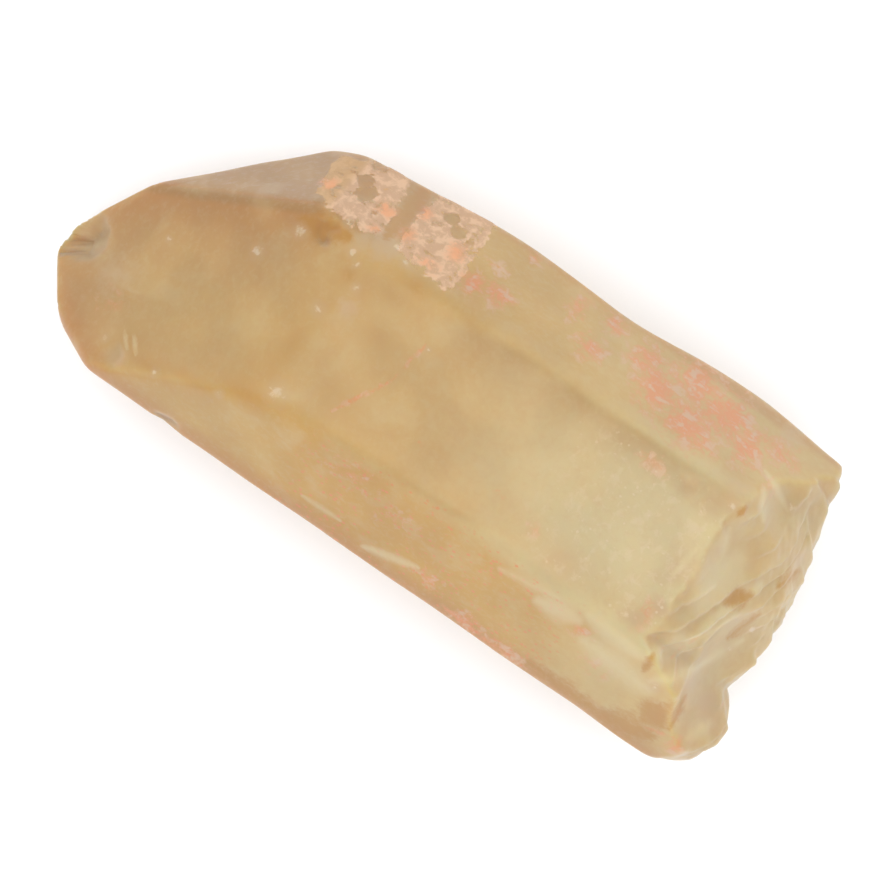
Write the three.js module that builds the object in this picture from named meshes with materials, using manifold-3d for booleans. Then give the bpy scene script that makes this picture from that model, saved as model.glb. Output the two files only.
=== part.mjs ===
// A single natural citrine point, lying on one of its prism faces.
//
// Frame, in millimetres: the crystal's long axis is X with the tip towards +X, Z is up,
// and the origin is under the middle of the stone, on the surface that it lies on.
// The shape is grown the way quartz grows: a block is cut by six prism faces, two steep
// shoulder faces and the rhombohedral faces of the tip, then the broken base, the
// conchoidal scoops in it and the small chips along the edges are cut away.

import * as THREE from "three";
import { mergeVertices } from "three/addons/utils/BufferGeometryUtils.js";
import Module from "manifold-3d";

// ---- driving dimensions ----
const THICKNESS = 25.2; // between the resting prism face and the one on top
const MIDDLE = { x: -0.5, y: 0.134 }; // middle of the finished stone, from the growth axis
const BLOCK = { length: 90, width: 44, height: 40 }; // rough block the faces are cut from
const RHOMB = 38.2; // how far a rhombohedral face of quartz leans towards the tip, degrees
const STEEP = 11.1; // the same for the steep shoulder faces, degrees
const CUTTER_SIZE = 120; // side of the slab that cuts one face
const CUTTER_DEPTH = 60;
const GRID = 1.2; // cell of the uneven cut surfaces
const SCOOP_DETAIL = 9; // subdivisions of the spheres that make scoops
const CHIP_DETAIL = 4; // the same for the chips

// A face is set by its turn about the long axis from straight up towards +Y, by its lean
// towards the tip, both in degrees, and by one point that it passes through.
const FACES = {
  prism_top: { turn: 0, lean: 0, through: [0, 0, THICKNESS] },
  prism_upper_left: { turn: 60, lean: 0, through: [0, 7.85, THICKNESS] },
  prism_lower_left: { turn: 120, lean: 0, through: [0, 15.84, 11.3] },
  prism_bottom: { turn: 180, lean: 0, through: [0, 0, 0] },
  prism_upper_right: { turn: -60, lean: 0, through: [0, -6.75, THICKNESS] },
  shoulder_top: { turn: -3, lean: STEEP, through: [5.0, 0.6, THICKNESS] },
  shoulder_right: { turn: -60, lean: STEEP, through: [4.3, -7.0, THICKNESS] },
  rhomb_top: { turn: 0, lean: RHOMB, through: [10.5, 0, THICKNESS] },
  rhomb_upper_right: { turn: -60, lean: RHOMB, through: [17.8, -7.15, 19.4] },
  rhomb_lower_right: { turn: -120.7, lean: 45.2, through: [29.4, -4.55, 10.95] },
  rhomb_bottom: { turn: 180, lean: RHOMB, through: [34.7, 5.6, 4.65] },
  rhomb_lower_left: { turn: 120, lean: 34.9, through: [32.75, 12.2, 7.35] },
  rhomb_upper_left: { turn: 60, lean: RHOMB, through: [30.4, 14.0, 9.0] },
};

// The last prism face swells and dips along its length.
const WAVY_FACE = { turn: -120, lean: -0.9, through: [0, -14.95, 11.3] };
const SWELLS = [
  { x: 12.0, width: 7.0, height: -0.3 },
  { x: 0.6, width: 4.0, height: 0.3 },
  { x: -9.0, width: 4.5, height: -0.35 },
  { x: -21.5, width: 7.6, height: 1.6 },
];

// The break at the base: where it lies at mid height, how it curves and how it bevels.
const BREAK = {
  x: -35.2, // furthest plain reach of the broken end
  curve: 0.0125, // how fast it retreats on the right
  lobe: { y: 10.8, width: 3.0, height: -1.35 },
  notch: { y: 6.9, width: 1.0, height: 0.65 },
  hollow: { y: -9.2, width: 2.2, height: 0.6 },
  cornerFrom: 13.2, // the left corner is worn away from here outwards
  corner: 0.5,
  bevelFrom: 11, // the top bevel starts at this height
  bevel: 9.6, // how far back it has run at the top face
  bevelPower: 1.4,
  undercutFrom: 9,
  undercut: 2.6, // how far back the underside starts
  ripple: { y: -9, z: 27, pitch: 5.2, height: 0.22 },
};

// Conchoidal scoops in the broken end: the place across it, the radius of the ball that
// leaves the scoop, and how deep it bites.
const SCOOPS = [
  { y: -1.5, z: 22.5, radius: 11.0, bite: 0.9 },
  { y: 3.6, z: 17.0, radius: 12.0, bite: 1.0 },
  { y: -9.2, z: 19.0, radius: 7.0, bite: 0.7 },
  { y: 10.6, z: 17.6, radius: 7.5, bite: 1.2 },
  { y: -5.0, z: 13.6, radius: 9.0, bite: 0.6 },
  { y: 6.0, z: 5.5, radius: 11.0, bite: 0.9 },
  { y: -7.0, z: 5.0, radius: 9.0, bite: 0.8 },
];

// Chips: the face they were struck from, the place on it, the ball's radius and the bite.
const CHIPS = [
  { face: "rhomb_top", x: 15.9, y: -5.9, radius: 3.0, bite: 0.7 },
  { face: "rhomb_top", x: 33.7, y: 6.2, radius: 3.4, bite: 0.9 },
  { face: "rhomb_top", x: 10.4, y: 7.6, radius: 1.6, bite: 0.45 },
  { face: "rhomb_top", x: 25.4, y: 13.3, radius: 1.8, bite: 0.4 },
  { face: "prism_upper_left", x: 18.5, y: 15.7, radius: 2.0, bite: 0.35 },
  { face: "prism_top", x: -20.9, y: -5.6, radius: 2.6, bite: 0.3 },
];

const wasm = await Module();
wasm.setup();

// ---- geometry helpers ----
function toSolid(geometry) {
  const bare = geometry.clone();
  bare.deleteAttribute("normal");
  bare.deleteAttribute("uv");
  const merged = mergeVertices(bare, 1e-5);
  return new wasm.Manifold(
    new wasm.Mesh({
      numProp: 3,
      vertProperties: new Float32Array(merged.attributes.position.array),
      triVerts: new Uint32Array(merged.index.array),
    }),
  );
}

function toGeometry(solid) {
  const mesh = solid.getMesh();
  const geometry = new THREE.BufferGeometry();
  geometry.setAttribute("position", new THREE.BufferAttribute(mesh.vertProperties, 3));
  geometry.setIndex(new THREE.BufferAttribute(mesh.triVerts, 1));
  return geometry;
}

// A bell curve of the stated height and width, centred on x or y.
function rise(value, { x, y, width, height }) {
  return height * Math.exp(-(((value - (x ?? y)) / width) ** 2));
}

function outward({ turn, lean }) {
  const about = THREE.MathUtils.degToRad(turn);
  const tilt = THREE.MathUtils.degToRad(lean);
  return new THREE.Vector3(
    Math.sin(tilt),
    Math.sin(about) * Math.cos(tilt),
    Math.cos(about) * Math.cos(tilt),
  );
}

// A slab that removes everything outside a face. Its near side is flat, or is pushed out
// by relief(point) millimetres along the normal where the face is uneven.
function faceCutter(face, cells, relief) {
  const slab = new THREE.BoxGeometry(CUTTER_SIZE, CUTTER_SIZE, CUTTER_DEPTH, cells[0], cells[1], 1);
  slab.translate(0, 0, CUTTER_DEPTH / 2);
  const normal = outward(face);
  const along = new THREE.Vector3(1, 0, 0).addScaledVector(normal, -normal.x).normalize();
  const across = new THREE.Vector3().crossVectors(normal, along);
  const place = new THREE.Matrix4().makeBasis(along, across, normal);
  place.setPosition(new THREE.Vector3(...face.through));
  slab.applyMatrix4(place);
  if (relief) {
    pushNearSide(slab, face, normal, relief);
  }
  return toSolid(slab);
}

function pushNearSide(slab, face, normal, relief) {
  const origin = new THREE.Vector3(...face.through);
  const positions = slab.attributes.position;
  const point = new THREE.Vector3();
  for (let i = 0; i < positions.count; i += 1) {
    point.fromBufferAttribute(positions, i);
    const height = point.clone().sub(origin).dot(normal);
    if (Math.abs(height) < 1e-3) {
      point.addScaledVector(normal, relief(point));
      positions.setXYZ(i, point.x, point.y, point.z);
    }
  }
}

// How far the wavy prism face stands out at a point.
function swell(point) {
  return SWELLS.reduce((height, wave) => height + rise(point.x, wave), 0);
}

// Where the broken end lies along X at a place across the stone.
function breakAt(y, z) {
  const side = Math.min(y - 1, 0);
  const top = Math.max(z - BREAK.bevelFrom, 0) / (THICKNESS - BREAK.bevelFrom);
  const under = Math.max(BREAK.undercutFrom - z, 0) / BREAK.undercutFrom;
  const ring = Math.hypot(y - BREAK.ripple.y, z - BREAK.ripple.z);
  return (
    BREAK.x +
    BREAK.curve * side * side +
    BREAK.corner * Math.max(y - BREAK.cornerFrom, 0) ** 2 +
    rise(y, BREAK.lobe) +
    rise(y, BREAK.notch) +
    rise(y, BREAK.hollow) +
    BREAK.bevel * top ** BREAK.bevelPower +
    BREAK.undercut * under * under +
    BREAK.ripple.height * Math.sin((2 * Math.PI * ring) / BREAK.ripple.pitch)
  );
}

// The piece of rough block beyond the break. Its +X side follows breakAt.
function breakCutter() {
  const width = BLOCK.width + 4;
  const height = BLOCK.height + 4;
  const slab = new THREE.BoxGeometry(
    CUTTER_DEPTH, width, height, 1, Math.round(width / GRID), Math.round(height / GRID),
  );
  slab.translate(0, 0, THICKNESS / 2);
  const positions = slab.attributes.position;
  for (let i = 0; i < positions.count; i += 1) {
    const y = positions.getY(i);
    const z = positions.getZ(i);
    const far = positions.getX(i) < 0;
    positions.setX(i, far ? BREAK.x - CUTTER_DEPTH : breakAt(y, Math.min(z, THICKNESS + 1)));
  }
  return toSolid(slab);
}

function ball(centre, radius, detail) {
  const geometry = new THREE.IcosahedronGeometry(radius, detail);
  geometry.translate(...centre);
  return toSolid(geometry);
}

// The ball for one scoop: it bites into the break along the break's own normal.
function scoopBall({ y, z, radius, bite }) {
  const step = 0.5;
  const slopeY = (breakAt(y + step, z) - breakAt(y - step, z)) / (2 * step);
  const slopeZ = (breakAt(y, z + step) - breakAt(y, z - step)) / (2 * step);
  const normal = new THREE.Vector3(-1, slopeY, slopeZ).normalize();
  const centre = new THREE.Vector3(breakAt(y, z), y, z).addScaledVector(normal, radius - bite);
  return ball(centre.toArray(), radius, SCOOP_DETAIL);
}

// The ball for one chip: it touches down into the face at (x, y) by the stated bite.
function chipBall({ face, x, y, radius, bite }) {
  const plane = FACES[face];
  const normal = outward(plane);
  const [px, py, pz] = plane.through;
  const z = pz - (normal.x * (x - px) + normal.y * (y - py)) / normal.z;
  const centre = new THREE.Vector3(x, y, z).addScaledVector(normal, radius - bite);
  return ball(centre.toArray(), radius, CHIP_DETAIL);
}

// ---- the crystal ----
function growCrystal() {
  const block = new THREE.BoxGeometry(BLOCK.length, BLOCK.width, BLOCK.height);
  block.translate(0, 0, THICKNESS / 2);
  let solid = toSolid(block);
  for (const face of Object.values(FACES)) {
    solid = solid.subtract(faceCutter(face, [1, 1]));
  }
  const cells = [Math.round(CUTTER_SIZE / GRID), 1];
  return solid.subtract(faceCutter(WAVY_FACE, cells, swell));
}

function breakAndChip(crystal) {
  let solid = crystal.subtract(breakCutter());
  for (const scoop of SCOOPS) {
    solid = solid.subtract(scoopBall(scoop));
  }
  for (const chip of CHIPS) {
    solid = solid.subtract(chipBall(chip));
  }
  return solid.translate([-MIDDLE.x, -MIDDLE.y, 0]);
}

function citrineMaterial() {
  return new THREE.MeshStandardMaterial({ color: 0xcbb07a, roughness: 0.3, metalness: 0 });
}

const point = new THREE.Mesh(toGeometry(breakAndChip(growCrystal())), citrineMaterial());
point.name = "citrine_crystal";

const citrine = new THREE.Group();
citrine.add(point);

export default citrine;
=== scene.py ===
"""The finished look of a natural citrine point: a cloudy honey-yellow quartz crystal.

Shapes and marks are worked out in millimetres in the growth frame: long axis X through the middle the
crystal grew round, tip at +X, Z up from the face it lies on. They become metres in the part's own frame
as they go into a mesh.
"""

import math

import bpy
import numpy as np
from bpy.props import FloatProperty, FloatVectorProperty, IntProperty, PointerProperty
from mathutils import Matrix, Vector
from mathutils.geometry import delaunay_2d_cdt


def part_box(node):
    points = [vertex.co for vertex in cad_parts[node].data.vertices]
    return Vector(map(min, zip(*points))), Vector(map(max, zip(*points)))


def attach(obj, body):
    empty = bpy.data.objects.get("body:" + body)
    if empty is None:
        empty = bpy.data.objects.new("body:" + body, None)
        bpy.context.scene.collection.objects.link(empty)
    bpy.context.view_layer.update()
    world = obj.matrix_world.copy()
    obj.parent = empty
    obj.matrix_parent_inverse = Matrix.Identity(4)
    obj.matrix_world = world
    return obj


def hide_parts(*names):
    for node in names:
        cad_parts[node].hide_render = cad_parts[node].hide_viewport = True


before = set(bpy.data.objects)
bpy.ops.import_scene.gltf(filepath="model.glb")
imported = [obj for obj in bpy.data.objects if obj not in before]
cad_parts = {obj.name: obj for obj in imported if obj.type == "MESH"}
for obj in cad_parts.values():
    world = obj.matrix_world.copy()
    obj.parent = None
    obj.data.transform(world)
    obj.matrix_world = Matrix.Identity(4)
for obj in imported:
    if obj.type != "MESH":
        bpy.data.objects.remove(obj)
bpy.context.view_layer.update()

bl_info = {
    "name": "Citrine point",
    "version": (1, 0, 0),
    "blender": (4, 5, 0),
    "location": "3D View > Sidebar > Citrine",
    "description": "Builds a natural citrine point, the flaws sealed in it and its studio",
    "category": "Object",
}

MM = 0.001
NODE = "citrine_crystal"
BODY = "root"

# ---- the crystal's faces, as the solid model has them ----
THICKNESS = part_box(NODE)[1][2] / MM
GROWTH_MIDDLE = np.array([-0.5, 0.134, 0.0])  # middle of the stone in the growth frame
RHOMB = 38.2  # lean of a rhombohedral face of quartz towards the tip, degrees
STEEP = 11.1  # lean of the steep shoulder faces

# turn about the long axis from straight up towards +Y, lean towards the tip, one point
FACES = {
    "prism_top": (0, 0, (0, 0, THICKNESS)),
    "prism_upper_left": (60, 0, (0, 7.85, THICKNESS)),
    "prism_lower_left": (120, 0, (0, 15.84, 11.3)),
    "prism_bottom": (180, 0, (0, 0, 0)),
    "prism_lower_right": (-120, -0.9, (0, -14.95, 11.3)),
    "prism_upper_right": (-60, 0, (0, -6.75, THICKNESS)),
    "shoulder_top": (-3, STEEP, (5.0, 0.6, THICKNESS)),
    "shoulder_right": (-60, STEEP, (4.3, -7.0, THICKNESS)),
    "rhomb_top": (0, RHOMB, (10.5, 0, THICKNESS)),
    "rhomb_upper_right": (-60, RHOMB, (17.8, -7.15, 19.4)),
    "rhomb_lower_right": (-120.7, 45.2, (29.4, -4.55, 10.95)),
    "rhomb_bottom": (180, RHOMB, (34.7, 5.6, 4.65)),
    "rhomb_lower_left": (120, 34.9, (32.75, 12.2, 7.35)),
    "rhomb_upper_left": (60, RHOMB, (30.4, 14.0, 9.0)),
}
FACE_NAMES = list(FACES)
WAVY_FACE = "prism_lower_right"
SWELLS = ((12.0, 7.0, -0.3), (0.6, 4.0, 0.3), (-9.0, 4.5, -0.35), (-21.5, 7.6, 1.6))

BREAK_X = -35.2
BREAK_CURVE = 0.0125
BREAK_RISES = ((10.8, 3.0, -1.35), (6.9, 1.0, 0.65), (-9.2, 2.2, 0.6))
CORNER_FROM, CORNER = 13.2, 0.5
BEVEL_FROM, BEVEL, BEVEL_POWER = 11.0, 9.6, 1.4
UNDERCUT_FROM, UNDERCUT = 9.0, 2.6
RIPPLE = {"y": -9.0, "z": 27.0, "pitch": 5.2, "height": 0.22}
# conchoidal scoops: place across the break, radius of the ball, depth of the bite
SCOOPS = (
    (-1.5, 22.5, 11.0, 0.9),
    (3.6, 17.0, 12.0, 1.0),
    (-9.2, 19.0, 7.0, 0.7),
    (10.6, 17.6, 7.5, 1.2),
    (-5.0, 13.6, 9.0, 0.6),
    (6.0, 5.5, 11.0, 0.9),
    (-7.0, 5.0, 9.0, 0.8),
)
# chips: the face each was struck from, the place on it, radius of the ball, bite
CHIPS = (
    ("rhomb_top", 15.9, -5.9, 3.6, 0.45),
    ("rhomb_top", 33.7, 6.2, 3.4, 0.9),
    ("rhomb_top", 10.4, 7.6, 1.6, 0.45),
    ("rhomb_top", 25.4, 13.3, 1.8, 0.4),
    ("prism_upper_left", 18.5, 15.7, 2.0, 0.35),
    ("prism_top", -20.9, -5.6, 2.6, 0.3),
)

BREAK_WEAR = 0.17
BREAK_FLATTENING = 0.8  # share of the break's distance along X that is taken as its depth
# soft random relief: seed, pitch, height
BREAK_GRAIN = ((5, 3.1, 0.2), (6, 1.2, 0.1))
CHIP_GRAIN = ((11, 1.7, 0.25), (12, 0.8, 0.08))
CRUST_GRAIN = ((17, 1.7, 0.3),)
CRUST_FOOT, CRUST_FOOT_GRAIN = 8.6, ((16, 3.4, 3.5),)

BASE_PLANE = -38.5  # end of the blank that the break is carved from
SPINE = (-20.0, 20.0)  # stretch of the middle line that the surface is seen from
SPINE_Y, SPINE_Z = 1.0, 12.0
RAY_NEAR, RAY_FAR, HALVINGS = 0.2, 1.1, 20  # shares of a ray between which the surface is looked for
LID_LOWEST, LID_STEP = 5.0, 0.1  # levels at which the upper surface is looked for
EDGE_ROWS = (0.13, 0.33)  # rows of points beside every edge
BREAK_FINENESS = 0.65  # pitch of the points on the break, as a share of the faces'

# ---- quartz and studio ----
QUARTZ_IOR, QUARTZ_CLEAR, QUARTZ_ROUGH = 1.544, 0.5, 0.3
QUARTZ_SPREAD = (1.0, 0.7, 0.4)  # how far red, green and blue light spread, in light paths
QUARTZ_DENSITY = 14.0  # strength of the absorption
FLOOR_REACH = 1.5
SOFTBOX_SIZE, SOFTBOX_PLACE = 1.2, (0.0, 0.06, 0.6)
CAMERA_PLACE, CAMERA_TURN, CAMERA_LENS = (-1.608, 3.305), 214.6, 146.606

# ---- marks on the upper side, in plan, millimetres ----
SIDE_FROM, SIDE_TO = 7.0, 10.0  # heights between which the upper side's marks come in
FAR = 4.0  # reach of a mark, in its own half widths, past which nothing shows
# outlines of the two scabs of pink crust on the right shoulder
SCABS = (
    ((19.7, -12.4), (17.4, -14.2), (16.1, -12.7), (15.3, -14.0), (12.7, -13.9), (12.5, -11.6),
     (12.2, -9.9), (12.4, -7.4), (15.0, -7.1), (17.5, -7.6), (18.7, -8.0)),
    ((10.1, -14.2), (10.5, -11.9), (10.4, -9.6), (10.1, -7.7), (7.2, -7.3), (4.5, -7.0),
     (4.3, -9.2), (4.5, -12.9), (4.9, -15.0), (7.2, -15.0)),
)
# bare windows in the crust: x, y, radius
WINDOWS = (
    (16.0, -11.4, 0.8), (15.4, -10.0, 0.65), (14.9, -10.7, 0.6), (7.9, -12.7, 0.55), (6.8, -12.0, 0.5),
    (5.6, -11.7, 0.35), (13.7, -9.3, 0.3),
)
# coral stains and blooms of pink crust: x, y, reach along, reach across, strength
BLOOMS = (
    (18.3, -9.3, 1.0, 0.8, 0.9), (12.9, -10.2, 1.3, 0.8, 0.9), (12.6, -8.1, 0.9, 0.6, 0.8),
    (10.2, -11.9, 0.9, 1.0, 0.9), (10.3, -9.3, 1.0, 1.0, 0.9), (5.9, -10.5, 1.0, 1.2, 0.9),
    (7.4, -8.2, 1.5, 0.9, 0.6), (3.3, -9.0, 1.5, 1.2, 0.85), (0.9, -9.3, 1.5, 1.2, 0.85),
    (2.2, -11.4, 1.6, 0.8, 0.4), (0.3, -14.0, 1.0, 0.7, 0.5), (-5.2, -12.6, 1.1, 1.6, 0.7),
    (-8.0, -10.2, 1.7, 1.3, 0.85), (-8.6, -13.2, 1.3, 1.0, 0.8), (-12.4, -12.2, 1.8, 1.7, 0.8),
    (-14.6, -10.6, 2.4, 2.3, 0.95), (-17.4, -13.0, 2.8, 2.3, 0.95), (-18.4, -9.4, 3.2, 2.0, 1.0),
    (-20.8, -12.2, 3.0, 2.4, 0.95), (-23.6, -11.0, 2.3, 2.1, 0.85), (-26.4, -12.2, 1.9, 1.5, 0.75),
    (-26.8, -9.2, 0.8, 1.4, 0.6), (-17.3, -5.0, 2.0, 1.0, 0.5), (-16.5, 15.2, 2.6, 0.7, 0.7),
    (-12.6, 14.8, 2.2, 0.8, 0.6), (-8.0, 13.6, 1.8, 1.0, 0.55), (-20.4, 9.8, 1.6, 0.7, 0.6),
    (-23.6, 11.6, 1.6, 1.0, 0.5), (-33.2, 13.4, 1.0, 0.9, 0.7), (3.0, 9.8, 3.4, 1.6, 0.36),
    (-2.4, 10.9, 3.0, 1.4, 0.36), (-24.0, 5.4, 0.8, 1.8, 0.6), (-12.4, 5.0, 1.0, 0.9, 0.35),
    (-8.4, 4.2, 1.1, 0.7, 0.35), (-0.6, 4.6, 0.3, 0.25, 0.7), (28.6, 9.6, 2.2, 2.6, 0.25),
)
# pale feathers of healed cracks: start x, y, end x, y, half width, strength
FEATHERS = (
    (-16.2, 9.8, -19.9, 9.2, 0.75, 1.0), (-20.3, 8.4, -25.6, 8.8, 0.8, 0.7),
    (-21.4, 10.4, -28.2, 10.8, 1.3, 0.55), (-26.2, 8.6, -28.9, 4.8, 0.85, 0.75),
    (-28.9, 4.8, -31.1, -1.8, 0.9, 0.65), (-27.7, 10.1, -30.7, 6.9, 0.8, 0.5),
    (-30.7, 6.9, -32.9, 2.8, 0.5, 0.5), (-27.5, 2.2, -28.0, -2.4, 1.7, 1.0),
    (-25.8, -10.0, -29.5, -8.4, 0.3, 0.8), (-24.0, 1.9, -24.4, -1.3, 0.3, 0.7),
    (-34.6, 10.4, -33.8, 12.2, 1.0, 0.7),
    (5.2, 14.0, 1.2, 13.9, 0.3, 0.4), (-1.5, 14.7, -6.5, 13.4, 0.35, 0.8),
    (24.9, 10.8, 23.6, 12.2, 0.2, 0.9), (25.8, 11.0, 24.5, 12.3, 0.2, 0.7),
    (-25.8, -4.2, -26.9, -1.4, 0.5, 0.5),
    (-26.4, -8.6, -28.0, -6.4, 0.5, 0.5), (-12.0, 9.4, -17.5, 8.6, 0.5, 0.35),
)
# brown and golden hollows and cracks: start x, y, end x, y, half width, strength
BURNS = (
    (-29.4, 0.9, -30.8, -0.6, 0.8, 0.85), (-29.2, 12.0, -30.7, 12.5, 1.4, 1.0),
    (-25.7, -5.4, -25.9, -6.4, 0.4, 0.6), (18.0, -5.3, 14.2, -6.3, 1.0, 0.9),
    (33.2, 7.8, 33.4, 5.2, 0.9, 0.8), (-29.6, 11.6, -30.6, 12.0, 0.8, 0.9),
    (-26.8, 9.6, -26.5, 8.0, 0.5, 0.6), (11.4, -14.4, 11.5, -8.2, 0.8, 1.0),
    (10.5, -8.6, 9.9, -10.4, 0.6, 0.6), (-31.6, 3.4, -32.6, 0.2, 0.6, 0.4),
    (-32.6, -2.8, -33.6, -4.8, 0.8, 0.4),
    (-31.2, 9.4, -31.8, 12.6, 0.5, 0.5), (-26.4, 14.9, -31.0, 14.0, 1.1, 0.8),
    (-19.0, 14.8, -26.4, 14.9, 0.8, 0.5),
)
# soft brown smudges: x, y, reach along, reach across, strength
SMUDGES = (
    (7.8, -4.2, 1.8, 1.0, 0.5), (7.0, -5.8, 1.6, 0.9, 0.5), (7.4, -0.4, 1.9, 1.3, 0.3),
    (12.8, 4.3, 0.9, 2.4, 0.35), (6.7, 5.3, 1.9, 1.6, 0.3), (12.1, -3.5, 0.8, 1.0, 0.6),
    (22.2, 12.3, 2.4, 0.6, 0.4), (17.7, 11.3, 2.4, 0.7, 0.4), (13.6, 9.6, 2.0, 0.9, 0.5),
    (24.6, 11.4, 1.2, 1.0, 0.4), (10.3, -3.6, 1.5, 1.5, 0.3), (15.6, -10.9, 1.5, 1.5, 0.9),
    (7.2, -12.2, 1.0, 0.9, 0.7), (5.6, -11.7, 0.6, 0.6, 0.6), (13.7, -9.3, 0.6, 0.6, 0.7),
)
# pink streaks: start x, y, end x, y, half width, strength
STREAKS = (
    (6.9, 6.6, 4.2, 1.6, 0.5, 0.6), (4.2, 1.6, 3.4, -3.2, 0.4, 0.4), (-10.0, 15.0, -15.6, 15.4, 0.7, 0.7),
    (-28.0, 7.6, -29.0, 4.6, 0.8, 0.4), (-30.2, 13.6, -32.6, 12.9, 0.7, 0.5),
)
# lilac-grey haze: x, y, reach, strength
HAZES = (
    (11.2, -7.2, 1.5, 0.9), (12.9, -6.6, 1.0, 0.8), (10.6, -1.2, 1.0, 0.7), (-33.5, 9.0, 1.2, 0.9),
    (-34.0, 12.5, 0.9, 0.6), (29.5, 7.5, 2.6, 0.5), (-30.9, 8.2, 1.0, 0.5), (-26.6, -14.0, 1.2, 0.6),
    (-24.6, -6.8, 1.8, 0.5), (-23.6, 6.3, 0.9, 0.8), (-24.9, 4.6, 0.9, 0.8), (-32.4, -5.6, 1.6, 0.5),
    (-34.0, 10.6, 1.6, 0.7), (-16.1, 6.0, 3.0, 0.4), (-24.3, 0.4, 2.5, 0.42),
)
# bright bruises: x, y, reach
BRUISES = (
    (11.5, 7.9, 0.75), (19.9, -1.0, 0.5), (17.8, -4.4, 0.5), (12.7, 0.2, 0.5), (11.0, -3.0, 0.35),
    (13.0, -5.4, 0.4), (12.2, -4.7, 0.3), (21.3, 12.4, 0.3), (15.6, 10.6, 0.3), (32.7, 6.0, 0.4),
    (32.9, 7.0, 0.35), (14.8, -7.3, 0.4), (27.2, 2.4, 0.25), (10.1, -7.9, 0.45), (-24.8, -5.8, 0.4),
    (-29.7, -8.8, 0.45), (-33.0, 1.6, 0.4), (8.8, -7.2, 0.4),
    (-22.6, 6.6, 0.4), (-24.4, 4.2, 0.35),
    (30.8, 10.8, 0.3), (26.9, 12.6, 0.3), (3.2, -2.2, 0.2), (-32.2, 4.0, 0.35), (-28.4, 10.2, 0.3),
)
# healed veils: middle, reach along, reach across, bow
VEILS = (
    ((13.0, -4.0, 20.0), (3.4, 2.2, -1.6), (-0.6, 3.2, 1.6), 0.6),
    ((17.5, 8.4, 16.0), (6.6, 1.4, -3.6), (0.6, -1.0, 2.6), 0.8),
    ((-17.0, 1.0, 20.5), (8.5, 2.0, 1.5), (-1.0, 6.0, -1.5), 1.2),
    ((-4.0, -2.0, 15.0), (9.0, -3.0, 2.5), (0.5, 5.0, 3.5), 1.5),
)
# field of red specks under the upper left face: x, y of one end, x, y of the other, half width
SPECK_FIELD = (8.0, 10.6, -7.6, 12.2, 1.7)
# flakes of the veils, bruises and specks: seed of their draws, half thickness as a share of their size
VEIL_SEED, VEIL_THINNESS = 41, 0.08
BRUISE_SEED, BRUISE_THINNESS = 42, 0.15
SPECK_SEED, SPECK_THINNESS = 43, 0.35


# ---- settings ----
def length(name, description, default, lowest=0.0):
    """A length property, given in millimetres."""
    return FloatProperty(
        name=name, description=description, default=default * MM, min=lowest * MM, precision=5,
        unit="LENGTH",
    )


def number(name, description, default):
    """A property that counts things."""
    return IntProperty(name=name, description=description, default=default, min=0)


def colour(name, description, default):
    """A colour property."""
    return FloatVectorProperty(
        name=name, description=description, default=default, subtype="COLOR", min=0.0, max=1.0,
    )


class CitrineSizes(bpy.types.PropertyGroup):
    """Sizes of the crystal's finish"""

    mesh_step: length("Mesh step", "Spacing of the points on a face", 0.32, 0.2)
    edge_wear: length("Edge wear", "How far the worn edges are rounded", 0.22, 0.02)
    relief: length("Relief", "Height of the faint waviness of the faces", 0.03)
    ledges: length("Ledges", "Height of the steps across the break", 0.42)
    crust: length("Crust", "Thickness of the pink crust", 0.07)
    light_path: length("Light path", "How far light spreads in the quartz before it comes out", 4.0)
    veil_flakes: number("Veil flakes", "Flakes in each healed veil inside the stone", 320)
    speck_rows: number("Speck rows", "Short rows of red specks under the upper left face", 60)


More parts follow.
